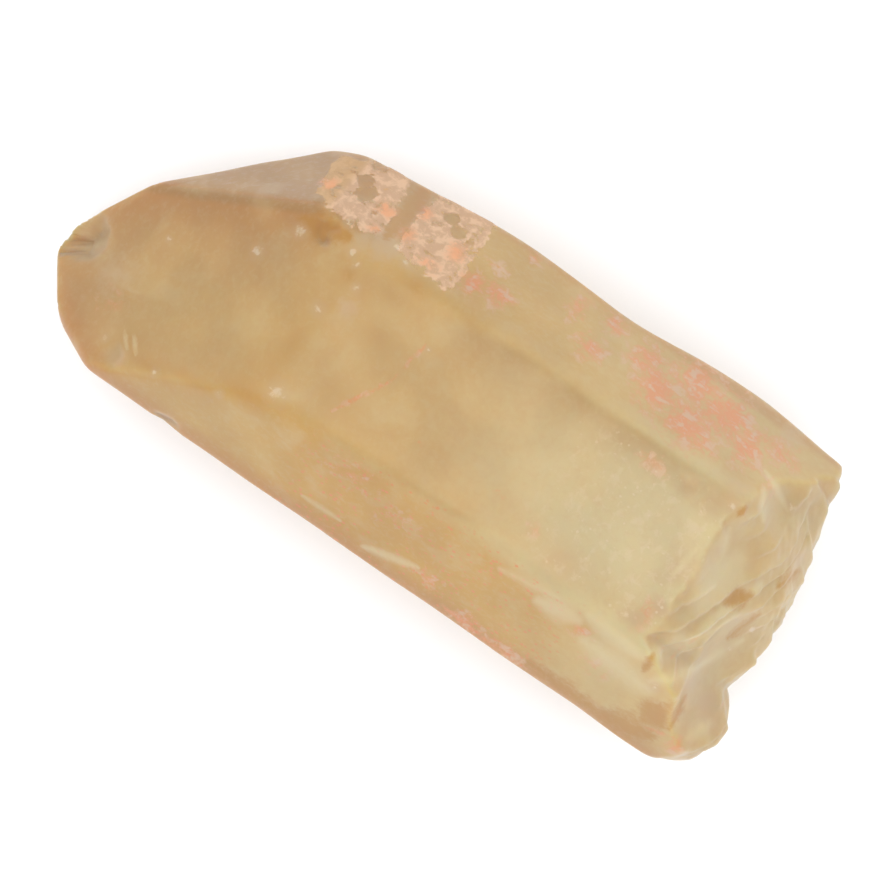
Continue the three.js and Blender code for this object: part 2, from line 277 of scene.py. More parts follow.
class CitrineColours(bpy.types.PropertyGroup):
    """Colours of the crystal"""

    honey: colour("Honey", "The quartz in the middle of the stone", (0.66, 0.46, 0.18))
    tan: colour("Tan", "The quartz at the tip", (0.60, 0.375, 0.146))
    pale: colour("Pale", "The quartz by the broken end", (0.73, 0.635, 0.365))
    # Pale: partly the quartz's own paler tone by the broken end, partly painted sheen of the overhead light
    # there; it also lightens the mottle and grain
    ochre: colour("Ochre", "The quartz of the two slanting upper faces", (0.64, 0.40, 0.06))
    amber: colour("Amber", "The quartz along the upper left face", (0.63, 0.36, 0.05))
    straw: colour("Straw", "The quartz of the steep shoulder face", (0.65, 0.46, 0.16))
    # Rim: painted shade, brown, at the stone's widest lines; it also browns the tip face towards its ridge
    # and darkens the mottle and grain
    rim: colour("Rim", "The quartz at the stone's widest line", (0.55, 0.265, 0.07))
    # painted shade on the small right tip face and the right shoulder, which lean away from the light
    turned_face_shade: colour("Smoke", "The quartz behind the small right tip face", (0.42, 0.21, 0.02))
    # Shade: painted shade along the ridges where faces meet and on the crust of the small right tip face;
    # it also darkens the chips' hollows
    shade: colour("Shade", "Dark lines where faces meet", (0.44, 0.26, 0.09))
    heart: colour("Heart", "The quartz laid bare by the break", (0.66, 0.49, 0.24))
    cream: colour("Cream", "Healed cracks that catch the light", (0.80, 0.70, 0.43))
    burn: colour("Burn", "Hollows and stained cracks", (0.55, 0.28, 0.045))
    lilac: colour("Lilac", "Fine grey haze", (0.66, 0.485, 0.28))
    frost: colour("Frost", "Bruises and fine pits that scatter the light", (0.90, 0.78, 0.60))
    crust: colour("Crust", "The pink-white crust", (0.49, 0.307, 0.19))
    stain: colour("Stain", "Iron stain in the crust", (0.66, 0.30, 0.14))
    coral: colour("Coral", "Iron stain in the quartz", (0.81, 0.34, 0.135))
    blush: colour("Blush", "Pink-white bloom on the quartz", (0.76, 0.51, 0.33))
    rust: colour("Rust", "Red dots and specks in the upper left face", (0.80, 0.27, 0.10))
    veil: colour("Veil", "Healed veils deep in the stone", (0.98, 0.93, 0.80))
    gleam: colour("Gleam", "Bright streaks in the sealed feathers", (0.9, 0.82, 0.6))
    spark: colour("Spark", "Fresh cracks where they are brightest", (0.90, 0.82, 0.70))
    dull: colour("Dull", "Fresh cracks where they are dimmer", (0.76, 0.64, 0.50))
    absorbed: colour("Depth", "Colour of light that has passed through the stone", (0.81, 0.57, 0.125))


class CitrineStudio(bpy.types.PropertyGroup):
    """Light and camera"""

    sky: FloatProperty(name="Sky", description="Strength of the white surroundings", default=1.1, min=0.0)
    softbox: FloatProperty(
        name="Softbox", description="Power of the overhead softbox", default=2.4, min=0.0, unit="POWER",
    )
    floor: colour("Floor", "Colour of the floor", (0.95, 0.965, 0.99))
    camera_height: length("Camera height", "Height of the camera over the top of the stone", 297, 100)


# ---- shape: numpy fields of position ----
def outward(turn, lean):
    """Outward normal of a face from its turn and lean: (sin lean, sin turn cos lean, cos turn cos lean)."""
    about, tilt = math.radians(turn), math.radians(lean)
    return np.array([math.sin(tilt), math.sin(about) * math.cos(tilt), math.cos(about) * math.cos(tilt)])


NORMALS = np.array([outward(turn, lean) for turn, lean, _ in FACES.values()])
OFFSETS = np.array([n @ np.array(f[2], float) for n, f in zip(NORMALS, FACES.values())])


def bell(value, centre, width):
    """A bell curve: e to the minus square of the distance from the centre in widths."""
    return np.exp(-(((value - centre) / width) ** 2))


def ramp(value, low, high):
    """Smooth step from 0 at low to 1 at high: three times the square less twice the cube of the share."""
    share = np.clip((value - low) / (high - low), 0, 1)
    return share * share * (3 - 2 * share)


def unit(vectors):
    """Rows of vectors made one long."""
    return vectors / np.linalg.norm(vectors, axis=1, keepdims=True)


def waves(points, seed, pitch, count=7):
    """Soft random relief: the mean of sines of position along random directions, near the given pitch."""
    rng = np.random.default_rng(seed)
    directions = unit(rng.normal(size=(count, 3)))
    pitches = pitch * rng.uniform(0.7, 1.5, count)
    phases = rng.uniform(0, 2 * np.pi, count)
    return np.sin(points @ directions.T * (2 * np.pi / pitches) + phases).mean(axis=1)


def relief(points, layers):
    """Soft random relief of several pitches: the sum of each layer's waves times its height."""
    return sum(height * waves(points, seed, pitch) for seed, pitch, height in layers)


def break_at(y, z):
    """Where the break lies along X: a curve, bells for lobe and notches, bevel, undercut and ripples."""
    top = np.clip(z - BEVEL_FROM, 0, None) / (THICKNESS - BEVEL_FROM)
    under = np.clip(UNDERCUT_FROM - z, 0, None) / UNDERCUT_FROM
    ring = np.hypot(y - RIPPLE["y"], z - RIPPLE["z"])
    x = BREAK_X + BREAK_CURVE * np.clip(y - 1, None, 0) ** 2
    x = x + CORNER * np.clip(y - CORNER_FROM, 0, None) ** 2
    for centre, width, height in BREAK_RISES:
        x = x + height * bell(y, centre, width)
    x = x + BEVEL * top**BEVEL_POWER + UNDERCUT * under**2
    return x + RIPPLE["height"] * np.sin(2 * np.pi * ring / RIPPLE["pitch"])


def scoop_ball(y, z, radius, bite, step=0.5):
    """Centre of a scoop's ball: on the break's own normal, its radius less the bite away."""
    slope_y = (break_at(y + step, z) - break_at(y - step, z)) / (2 * step)
    slope_z = (break_at(y, z + step) - break_at(y, z - step)) / (2 * step)
    normal = np.array([-1.0, slope_y, slope_z])
    normal /= np.linalg.norm(normal)
    return np.array([break_at(y, z), y, z]) + normal * (radius - bite), radius


def chip_ball(face, x, y, radius, bite):
    """Centre of a chip's ball: above the face's point at (x, y), its radius less the bite away."""
    k = FACE_NAMES.index(face)
    normal = NORMALS[k]
    z = (OFFSETS[k] - normal[0] * x - normal[1] * y) / normal[2]
    return np.array([x, y, z]) + normal * (radius - bite), radius


SCOOP_BALLS = [scoop_ball(*scoop) for scoop in SCOOPS]
CHIP_BALLS = [chip_ball(*chip) for chip in CHIPS]


def soft_max(terms, blend):
    """The largest of the terms, creases rounded: blend times the log of the sum of e to term over blend."""
    top = terms.max(axis=0)
    return top + blend * np.log(np.exp((terms - top) / blend).sum(axis=0))


def face_heights(points):
    """How far points stand outside each face, with the wavy face's swells."""
    heights = points @ NORMALS.T - OFFSETS
    swell = sum(height * bell(points[:, 0], x, width) for x, width, height in SWELLS)
    heights[:, FACE_NAMES.index(WAVY_FACE)] -= swell
    return heights


def outline_reach(x, y, outline):
    """Distance in plan to a closed outline, above zero inside: the nearest side's, signed by crossings."""
    start = np.array(outline)
    end = np.roll(start, -1, axis=0)
    side = end - start
    away = np.stack([x, y], axis=1)[:, None, :] - start
    share = np.clip((away * side).sum(axis=2) / (side**2).sum(axis=1), 0, 1)
    distance = np.linalg.norm(away - share[:, :, None] * side, axis=2).min(axis=1)
    level = y[:, None]
    crossed = (start[:, 1] > level) != (end[:, 1] > level)
    steepness = np.where(side[:, 1] == 0, 1e-9, side[:, 1])
    meeting = start[:, 0] + (level - start[:, 1]) / steepness * side[:, 0]
    inside = (crossed & (x[:, None] < meeting)).sum(axis=1) % 2 == 1
    return np.where(inside, distance, -distance)


def crust_reach(points):
    """How deep inside the ragged crust a point is, in mm: the two scabs less their windows and low ends."""
    x, y, z = points.T
    inside = np.max([outline_reach(x, y, outline) for outline in SCABS], axis=0)
    for window_x, window_y, radius in WINDOWS:
        inside = np.minimum(inside, np.hypot(x - window_x, y - window_y) - radius)
    inside = inside + relief(points, CRUST_GRAIN)
    foot = z - CRUST_FOOT - relief(points, CRUST_FOOT_GRAIN)
    return np.clip(np.minimum(inside, foot), -2, 2)


def ledges(points):
    """Steps across the break, 0 to 1: saws of position along two wandering slants, each in its own part."""
    y, z = points[:, 1], points[:, 2]
    first = (0.87 * z - 0.49 * y + 0.8 * waves(points, 13, 7.0)) / 1.5
    second = (0.5 * z + 0.86 * y + 1.2 * waves(points, 14, 8.0)) / 2.3
    share = ramp(waves(points, 15, 11.0) + bell(y, 4.0, 6.0) * bell(z, 20.0, 6.0), 0.1, 0.3)
    saws = []
    for level in (first, second):
        part = level - np.floor(level)
        saws.append(part * ramp(part, 1.0, 0.75))
    return saws[0] * share + saws[1] * (1 - share)


def worn_faces(points, sizes):
    """Below zero inside the whole crystal: its faces, the edges worn, the upper ones most."""
    upper = ramp(points[:, 2], 18.0, 23.0)
    wear = sizes.edge_wear / MM * (1 + 0.6 * waves(points, 3, 9.0) + 2.4 * upper)
    return soft_max(face_heights(points).T, wear)


def field(points, sizes):
    """Below zero inside the crystal: faces with worn edges, less break, scoops and chips, plus crust."""
    stone = worn_faces(points, sizes)
    broken = break_at(points[:, 1], points[:, 2]) - points[:, 0]
    broken = broken + relief(points, BREAK_GRAIN) + sizes.ledges / MM * ledges(points)
    cuts = [stone, broken * BREAK_FLATTENING]
    for centre, radius in SCOOP_BALLS:
        cuts.append(radius - np.linalg.norm(points - centre, axis=1))
    ragged = relief(points, CHIP_GRAIN)
    for centre, radius in CHIP_BALLS:
        cuts.append(radius - np.linalg.norm(points - centre, axis=1) + ragged)
    surface = soft_max(np.array(cuts), BREAK_WEAR) + sizes.relief / MM * waves(points, 8, 7.0)
    crust = ramp(crust_reach(points), 0.0, 0.3) * (0.7 + 0.5 * waves(points, 9, 1.3))
    return surface - sizes.crust / MM * crust


def settle(points, sizes):
    """Slides points along their rays from the middle line until the field is zero, by halving."""
    spine = np.column_stack([
        np.clip(points[:, 0], *SPINE),
        np.full(len(points), SPINE_Y),
        np.full(len(points), SPINE_Z),
    ])
    rays = points - spine
    near, far = np.full(len(points), RAY_NEAR), np.full(len(points), RAY_FAR)
    for _ in range(HALVINGS):
        middle = (near + far) / 2
        inside = field(spine + rays * middle[:, None], sizes) < 0
        near, far = np.where(inside, middle, near), np.where(inside, far, middle)
    return spine + rays * far[:, None]


def lid(x, y, sizes):
    """Height of the stone's upper surface over plan points: the highest of many levels that is inside."""
    levels = np.arange(THICKNESS + 0.2, LID_LOWEST, -LID_STEP)
    grid = np.stack(np.broadcast_arrays(x[:, None], y[:, None], levels[None, :]), axis=2)
    inside = field(grid.reshape(-1, 3), sizes).reshape(grid.shape[:2]) < 0
    return levels[inside.argmax(axis=1)]


def uphill(points, sizes, step=0.3):
    """Outward direction at points: the field's slope along X, Y and Z, made one long."""
    return unit(np.column_stack([
        field(points + step * axis, sizes) - field(points - step * axis, sizes) for axis in np.eye(3)
    ]))


# ---- marks on the surface, kept as attributes ----
def on_upper_side(points, reach):
    """A mark's reach, up to the limit, and all of the limit on the underside."""
    return np.minimum(reach + FAR * ramp(points[:, 2], SIDE_TO, SIDE_FROM), FAR)


def blooms(points, spots):
    """Share of pink stain: for each spot a bell over its two reaches, the strongest kept."""
    upper = ramp(points[:, 2], SIDE_FROM, SIDE_TO)
    share = [
        strength * bell(points[:, 0], x, along) * bell(points[:, 1], y, across)
        for x, y, along, across, strength in spots
    ]
    return np.max(share, axis=0) * upper


def stroke_reach(points, lines):
    """Plan distance to the nearest stroke in its half widths, up to 4; a weak stroke starts further off."""
    best = np.full(len(points), FAR)
    for x0, y0, x1, y1, width, strength in lines:
        start, side = np.array([x0, y0]), np.array([x1 - x0, y1 - y0])
        away = points[:, :2] - start
        share = np.clip(away @ side / (side @ side), 0, 1)
        distance = np.linalg.norm(away - share[:, None] * side, axis=1)
        taper = 0.45 + 0.55 * np.sin(np.pi * share)
        best = np.minimum(best, distance / (width * taper) + 1 - strength)
    return on_upper_side(points, best)


def bruise_reach(points):
    """Plan distance to the nearest bright bruise in its own reaches, up to 4."""
    gaps = [np.hypot(points[:, 0] - x, points[:, 1] - y) / reach for x, y, reach in BRUISES]
    return on_upper_side(points, np.min(gaps, axis=0))


def marks(points, sizes):
    """The attributes that the material reads; the underside's are patches where soft waves run high."""
    below = ramp(points[:, 2], SIDE_TO, 6.0)
    pink = below * np.clip(waves(points, 22, 9.0) * 2 - 0.5, 0, 1)
    pink = np.maximum(pink, np.clip(1.2 - stroke_reach(points, STREAKS), 0, 1))
    pale = FAR - FAR * below * np.clip(waves(points, 23, 6.0) * 3 - 0.9, 0, 1)
    brown = FAR - FAR * below * np.clip(waves(points, 24, 5.0) * 3 - 1.0, 0, 1)
    return {
        "crust": crust_reach(points),
        "bloom": np.maximum(blooms(points, BLOOMS), pink),
        "feather": np.minimum(stroke_reach(points, FEATHERS), pale),
        "burn": np.minimum(stroke_reach(points, BURNS), brown),
        "bruise": bruise_reach(points),
        "smudge": blooms(points, SMUDGES),
        "haze": blooms(points, [(x, y, reach, reach, strength) for x, y, reach, strength in HAZES]),
        "hollow": ramp(worn_faces(points, sizes), -0.06, -0.26),
    }


# ---- shape: a mesh that follows the crystal's edges ----
def blank_corners(normals, offsets):
    """Corners of the flat-faced blank: each point where three faces meet and no other face cuts it off."""
    corners, on_faces = [], []
    count = len(offsets)
    for i in range(count):
        for j in range(i + 1, count):
            for k in range(j + 1, count):
                trio = normals[[i, j, k]]
                if abs(np.linalg.det(trio)) < 1e-6:
                    continue
                corner = np.linalg.solve(trio, offsets[[i, j, k]])
                if (normals @ corner - offsets).max() < 1e-7:
                    corners.append(corner)
                    on_faces.append({i, j, k})
    return corners, on_faces


def edge_points(start, end, step):
    """Evenly spaced points from start up to, not including, end; the same whichever end comes first."""
    flip = tuple(end) < tuple(start)
    first, last = (end, start) if flip else (start, end)
    count = max(1, int(round(np.linalg.norm(last - first) / step)))
    points = first + (last - first) * (np.arange(count + 1) / count)[:, None]
    return points[::-1][:-1] if flip else points[:-1]


def face_patch(corners, normal, step, pitch):
    """One flat face: rows beside its edges, an even grid of two parameters inside, and triangles."""
    corners = np.array(corners)
    across = np.cross(normal, [0.0, 0.0, 1.0] if abs(normal[2]) < 0.9 else [1.0, 0.0, 0.0])
    across /= np.linalg.norm(across)
    along = np.cross(normal, across)
    flat = np.column_stack([across, along])
    middle = corners.mean(axis=0)
    angles = np.arctan2((corners - middle) @ along, (corners - middle) @ across)
    corners = corners[np.argsort(angles)]
    ends = np.roll(corners, -1, axis=0)
    rim = np.concatenate([edge_points(a, b, step) for a, b in zip(corners, ends)])
    inward = unit(np.cross(normal, ends - corners))

    def clearance(points):
        return ((points[:, None, :] - corners) * inward).sum(axis=2).min(axis=1)

    parts = [rim]
    for row in EDGE_ROWS:
        for a, b, inner in zip(corners, ends, inward):
            moved = edge_points(a, b, step) + inner * row
            parts.append(moved[clearance(moved) > row - 1e-6])
    reach = (corners - middle) @ flat
    low, high = reach.min(axis=0), reach.max(axis=0)
    rise = pitch * math.sqrt(3) / 2
    u, v = np.meshgrid(np.arange(low[0], high[0], pitch), np.arange(low[1], high[1], rise))
    u = u + pitch / 2 * (np.arange(len(u))[:, None] % 2)
    grid = middle + np.column_stack([u.ravel(), v.ravel()]) @ flat.T
    parts.append(grid[clearance(grid) > EDGE_ROWS[-1] + 0.5 * pitch])
    points = np.concatenate(parts)
    plane = (points - middle) @ flat
    made = delaunay_2d_cdt([Vector(p) for p in plane], [], [list(range(len(rim)))], 1, 1e-7)
    keep = np.array([origin[0] for origin in made[3]])
    return points[keep], np.array(made[2])


def crystal_mesh(sizes):
    """The whole stone: flat patches welded along their edges, then settled on the field."""
    normals = np.vstack([NORMALS, [-1.0, 0.0, 0.0]])
    offsets = np.append(OFFSETS, -BASE_PLANE)
    corners, on_faces = blank_corners(normals, offsets)
    all_points, all_triangles, total = [], [], 0
    for k, normal in enumerate(normals):
        mine = [c for c, faces in zip(corners, on_faces) if k in faces]
        if len(mine) < 3:
            continue
        step = sizes.mesh_step / MM
        pitch = step * BREAK_FINENESS if k == len(FACES) else step
        points, triangles = face_patch(mine, normal, step, pitch)
        all_points.append(points)
        all_triangles.append(triangles + total)
        total += len(points)
    points, triangles = np.concatenate(all_points), np.concatenate(all_triangles)
    _, first, index = np.unique(np.round(points, 6), axis=0, return_index=True, return_inverse=True)
    triangles = index.ravel()[triangles]
    return settle(points[first], sizes), triangles


def make_piece(name, points, faces, material, attributes=None):
    """A smooth mesh object at the origin from growth-frame millimetres, with its attributes."""
    mesh = bpy.data.meshes.new(name)
    mesh.from_pydata((points - GROWTH_MIDDLE) * MM, [], faces)
    mesh.polygons.foreach_set("use_smooth", np.ones(len(mesh.polygons), bool))
    for title, values in (attributes or {}).items():
        made = mesh.attributes.new(title, "FLOAT", "POINT")
        made.data.foreach_set("value", values.astype(np.float32))
    mesh.update()
    piece = bpy.data.objects.new(name, mesh)
    bpy.context.scene.collection.objects.link(piece)
    piece.data.materials.append(material)
    return piece


def seal_in(piece):
    """A piece inside the stone moves with it."""
    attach(piece, BODY)


# ---- shapes sealed in the stone ----
def flakes(centres, normals, sizes, thinness, rng, sides=6):
    """Small closed flakes: round each centre an uneven ring of points, one point over it and one under."""
    count = len(centres)
    helper = np.where(np.abs(normals[:, 2:]) < 0.9, [[0.0, 0.0, 1.0]], [[1.0, 0.0, 0.0]])
    across = unit(np.cross(normals, helper))
    along = np.cross(normals, across)
    angle = rng.uniform(0, 2 * np.pi, (count, 1)) + np.arange(sides) * 2 * np.pi / sides
    radius = sizes[:, None] * rng.uniform(0.5, 1.0, (count, sides))
    ring = centres[:, None] + (radius * np.cos(angle))[:, :, None] * across[:, None]
    ring = ring + (radius * np.sin(angle))[:, :, None] * along[:, None]
    lift = normals * (sizes * thinness)[:, None]
    points = np.concatenate([ring, (centres + lift)[:, None], (centres - lift)[:, None]], axis=1)
    here = np.arange(sides)
    after = (here + 1) % sides
    over = np.column_stack([here, after, np.full(sides, sides)])
    under = np.column_stack([after, here, np.full(sides, sides + 1)])
    one = np.concatenate([over, under])
    faces = one + np.arange(count)[:, None, None] * (sides + 2)
    return points.reshape(-1, 3), faces.reshape(-1, 3)


def veil_flakes(veil, count, rng):
    """Flakes over a bowed sheet of two parameters: middle, along and across by the two, and the bow."""
    middle, along, across, bow = (np.array(part) for part in veil)
    angle, reach = rng.uniform(0, 2 * np.pi, count), rng.uniform(0, 1, count) ** 0.7
    u, v = reach * np.cos(angle), reach * np.sin(angle)
    normal = np.cross(along, across)
    normal /= np.linalg.norm(normal)
    centres = middle + u[:, None] * along + v[:, None] * across
    centres = centres + (bow * (u * u - 0.4 * v) + rng.normal(0, 0.06, count))[:, None] * normal
    normals = unit(normal + rng.normal(0, 0.25, (count, 3)))
    kept = waves(centres, 31, 2.4) > -0.12
    return centres[kept], normals[kept], rng.uniform(0.04, 0.12, kept.sum())


def bruise_flakes(sizes, rng, each=16):
    """Flakes crowded round each bruise, a little under the surface and leaning at random."""
    x, y, reach = np.repeat(np.array(BRUISES), each, axis=0).T
    spread = rng.normal(0, 0.35, (len(x), 2)) * reach[:, None]
    x, y = x + spread[:, 0], y + spread[:, 1]
    centres = np.column_stack([x, y, lid(x, y, sizes)])
    outside = uphill(centres, sizes)
    size = reach * rng.uniform(0.1, 0.3, len(x))
    centres = centres - outside * (0.05 + size)[:, None]
    normals = unit(outside + rng.normal(0, 0.5, outside.shape))
    return centres, normals, size


def speck_rows(sizes, rng):
    """Red specks in short slanting rows scattered over their field, just under the surface."""
    x0, y0, x1, y1, half = SPECK_FIELD
    rows = sizes.speck_rows
    share, side = rng.uniform(0, 1, rows), rng.normal(0, 0.5, rows)
    counts = rng.integers(2, 7, rows)
    row = np.repeat(np.arange(rows), counts)
    place = np.arange(len(row)) - np.repeat(np.cumsum(counts) - counts, counts)
    slant = rng.normal(2.4, 0.25, rows)[row]
    pitch = rng.uniform(0.32, 0.5, rows)[row]
    x = (x0 + (x1 - x0) * share)[row] + np.cos(slant) * pitch * place + rng.normal(0, 0.05, len(row))
    y = (y0 + (y1 - y0) * share + half * side)[row] + np.sin(slant) * pitch * place * 0.6
    centres = np.column_stack([x, y, lid(x, y, sizes)])
    outside = uphill(centres, sizes)
    size = rng.uniform(0.06, 0.15, len(x))
    return centres - outside * (0.06 + size * 0.4)[:, None], outside, size


def feather_lens(line, sizes, rows=24, sides=10, thickness=0.05, under=0.4):
    """A closed lens along a stroke: half width and thickness fall to nothing at both ends, as a sine."""
    x0, y0, x1, y1, width, _ = line
    share = np.linspace(0, 1, rows + 2)
    x, y = x0 + (x1 - x0) * share, y0 + (y1 - y0) * share
    path = np.column_stack([x, y, lid(x, y, sizes)])
    outside = uphill(path, sizes)
    path = path - outside * (under + 0.3 * width)
    across = unit(np.cross(outside, np.gradient(path, axis=0)))
    angle = np.arange(sides) * 2 * np.pi / sides
    swell = np.sin(np.pi * share) ** 0.7
    wide = (swell * width * 0.6)[:, None] * np.cos(angle) * (1 + 0.2 * np.sin(9 * share))[:, None]
    thick = (swell * thickness)[:, None] * np.sin(angle)
    rings = path[:, None] + wide[:, :, None] * across[:, None] + thick[:, :, None] * outside[:, None]
    points = np.concatenate([path[:1], rings[1:-1].reshape(-1, 3), path[-1:]])
    here = 1 + np.arange(rows * sides).reshape(rows, sides)
    after = np.roll(here, -1, axis=1)
    walls = np.stack([here[:-1], here[1:], after[1:], after[:-1]], axis=2).reshape(-1, 4).tolist()
    first = [[0, a, b] for a, b in zip(here[0], after[0])]
    last = [[len(points) - 1, b, a] for a, b in zip(here[-1], after[-1])]
    return points, [*walls, *first, *last]


def joined(shapes):
    """Several meshes as one: their points end to end, each one's faces moved on by the points before it."""
    points, faces, total = [], [], 0
    for some_points, some_faces in shapes:
        points.append(some_points)
        faces.extend([[corner + total for corner in face] for face in some_faces])
        total += len(some_points)
    return np.concatenate(points), faces


# ---- shader maths ----
class Value:
    """A socket whose arithmetic adds Math nodes to its tree."""

    def __init__(self, paint, socket):
        self.paint, self.socket = paint, socket

    def math(self, operation, *others):
        return self.paint.output("ShaderNodeMath", {"operation": operation}, self, *others)

    def __add__(self, other):
        return self.math("ADD", other)

    def __sub__(self, other):
        return self.math("SUBTRACT", other)

    def __rsub__(self, other):
        return (self * -1.0).math("ADD", other)

    def __mul__(self, other):
        return self.math("MULTIPLY", other)

    __radd__, __rmul__ = __add__, __mul__


class Paint:
    """A material's node tree; its point is the growth-frame position in millimetres."""

    def __init__(self, name):
        self.material = bpy.data.materials.new(name)
        self.material.use_nodes = True
        self.tree = self.material.node_tree
        self.tree.nodes.clear()
        place = self.value(self.node("ShaderNodeTexCoord").outputs["Object"])
        self.point = self.output(
            "ShaderNodeVectorMath", {"operation": "MULTIPLY_ADD"}, place, (1 / MM, 1 / MM, 1 / MM),
            tuple(GROWTH_MIDDLE),
        )
        parts = self.node("ShaderNodeSeparateXYZ", None, self.point)
        self.x, self.y, self.z = (self.value(out) for out in parts.outputs)
        self.heights = {}

    def value(self, socket):
        return Value(self, socket)

    def node(self, kind, settings=None, *inputs, **named):
        """Any node: its type, its settings, and the values or links of its sockets."""
        made = self.tree.nodes.new(kind)
        for key, setting in (settings or {}).items():
            setattr(made, key, setting)
        for slot, given in [*enumerate(inputs), *named.items()]:
            socket = made.inputs[slot if isinstance(slot, int) else slot.replace("_", " ")]
            if isinstance(given, Value):
                self.tree.links.new(given.socket, socket)
            else:
                socket.default_value = given
        return made

    def output(self, *node, **named):
        """The first output of a new node."""
        return self.value(self.node(*node, **named).outputs[0])

    def mark(self, title):
        """One of the mesh's attributes."""
        return self.value(self.node("ShaderNodeAttribute", {"attribute_name": title}).outputs["Fac"])

    def noise(self, scale, detail=3.0, rough=0.5, warp=0.0, offset=(0, 0, 0), stretch=(1, 1, 1)):
        """Fractal noise of position, its scale in cycles per millimetre."""
        placed = self.output("ShaderNodeMapping", None, self.point, Location=offset, Scale=stretch)
        return self.output(
            "ShaderNodeTexNoise", {"noise_dimensions": "3D"}, Vector=placed, Scale=scale,
            Detail=detail, Roughness=rough, Distortion=warp,
        )

    def cells(self, scale):
        """Distance to the nearest of points scattered at the given number per millimetre."""
        return self.output("ShaderNodeTexVoronoi", None, Vector=self.point, Scale=scale)

    def step(self, value, low, high):
        """Smooth step of a value from 0 at low to 1 at high; high may be the lower one."""
        rising = high > low
        return self.output(
            "ShaderNodeMapRange", {"interpolation_type": "SMOOTHSTEP"}, value,
            From_Min=min(low, high), From_Max=max(low, high),
            To_Min=0.0 if rising else 1.0, To_Max=1.0 if rising else 0.0,
        )

    def face_height(self, face):
        """How far a point is below (-) or above (+) a crystal face, in millimetres, its nodes made once."""
        if face not in self.heights:
            k = FACE_NAMES.index(face)
            toward = tuple(NORMALS[k])
            dot = self.node("ShaderNodeVectorMath", {"operation": "DOT_PRODUCT"}, self.point, toward)
            self.heights[face] = self.value(dot.outputs["Value"]) - float(OFFSETS[k])
        return self.heights[face]

    def mix(self, factor, first, second):
        """Colour first where the factor is 0, second where it is 1."""
        made = self.node("ShaderNodeMix", {"data_type": "RGBA", "clamp_factor": True})
        for slot, given in ((0, factor), (6, first), (7, second)):
            if isinstance(given, Value):
                self.tree.links.new(given.socket, made.inputs[slot])
            else:
                made.inputs[slot].default_value = given if slot == 0 else (*given, 1.0)
        return self.value(made.outputs[2])

    def lay(self, tint, *layers):
        """A colour with others laid over it, each by its own share."""
        for share, over in layers:
            tint = self.mix(share, tint, over)
        return tint

    def plain(self, tint, roughness):
        """The finished material of one even surface."""
        return self.finish(self.output(
            "ShaderNodeBsdfPrincipled", None, Base_Color=tint, Roughness=roughness,
        ))

    def finish(self, surface, volume=None):
        out = self.node("ShaderNodeOutputMaterial", None, surface)
        if volume is not None:
            self.tree.links.new(volume.socket, out.inputs["Volume"])
        return self.material


# ---- materials ----
def face_colour(p, hues, tint, drift):
    """The side faces: ochre, amber along the left one, straw on the top shoulder, painted shade on the
    small right tip face and the right shoulder.
    """
    top, left = p.face_height("prism_top"), p.face_height("prism_upper_left")
    right, small = p.face_height("prism_upper_right"), p.face_height("rhomb_upper_right")
    down = p.step(top, -0.5, -3.0)
    on_left, on_right = p.step(left, -0.8, -0.05) * down, p.step(right, -0.8, -0.05) * down
    along_left = p.step(p.x + drift, -26.0, -14.0) * p.step(p.x + drift, 14.0, 6.0)
    shoulder, side_shoulder = p.face_height("shoulder_top"), p.face_height("shoulder_right")
    on_shoulder = p.step(shoulder, -0.3, -0.05) * p.step(shoulder - top, -0.2, 0.2)
    on_side = p.step(side_shoulder, -0.3, -0.05) * p.step(side_shoulder - right, -0.2, 0.2)
    return p.lay(
        tint,
        (on_left.math("MAXIMUM", on_right) * 0.55, hues.ochre),
        (on_left * along_left * 0.85, hues.amber),
        (on_shoulder * 0.6, hues.straw),
        # painted shade on the small right tip face and, at half strength, on the right shoulder
        (p.step(small, -0.35, -0.1).math("MAXIMUM", on_side * 0.5) * 0.9, hues.turned_face_shade),
    )


def tip_colour(p, hues, tint, drift):
    """The big tip face: golden in its left half, browner to the right, a line of painted shade along its
    ridge.
    """
    small = p.face_height("rhomb_upper_right")
    tip_face = p.step(p.face_height("rhomb_top"), -0.6, -0.1)
    gold = p.step(p.y + drift * 0.4, -2.0, 6.0) * p.step(p.x, 32.0, 24.0)
    ridge = p.step(small, -1.0, -0.4) * p.step(small, -0.05, -0.2)
    return p.lay(
        tint,
        (gold * tip_face * 0.9, hues.honey),
        (p.step(small, -4.5, -0.3) * tip_face * 0.55, hues.rim),
        # painted shade: a dark line along the tip face's ridge with the small right face
        (ridge * tip_face * 0.85, hues.shade),
    )


def edge_colour(p, hues, tint, drift):
    """Honey along the top face's left ridge, painted shade along its right ridge, and painted shade, brown,
    at the stone's widest lines.
    """
    top, left = p.face_height("prism_top"), p.face_height("prism_upper_left")
    right_ridge = p.step(p.face_height("prism_upper_right"), -3.4, -0.5) * p.step(top, -0.9, -0.3)
    return p.lay(
        tint,
        (p.step(left, -4.0, -1.0) * p.step(top, -0.6, -0.1) * 0.35, hues.honey),
        # painted shade along the top face's right ridge, towards the break
        (right_ridge * p.step(p.x + drift, 6.0, 0.0) * 0.4, hues.shade),
        # painted shade, brown, at the stone's widest lines along the lower left and lower right faces
        (p.step(p.face_height("prism_lower_left"), -3.4, -0.3) * 0.75, hues.rim),
        (p.step(p.face_height("prism_lower_right"), -1.6, -0.2) * 0.5, hues.rim),
    )


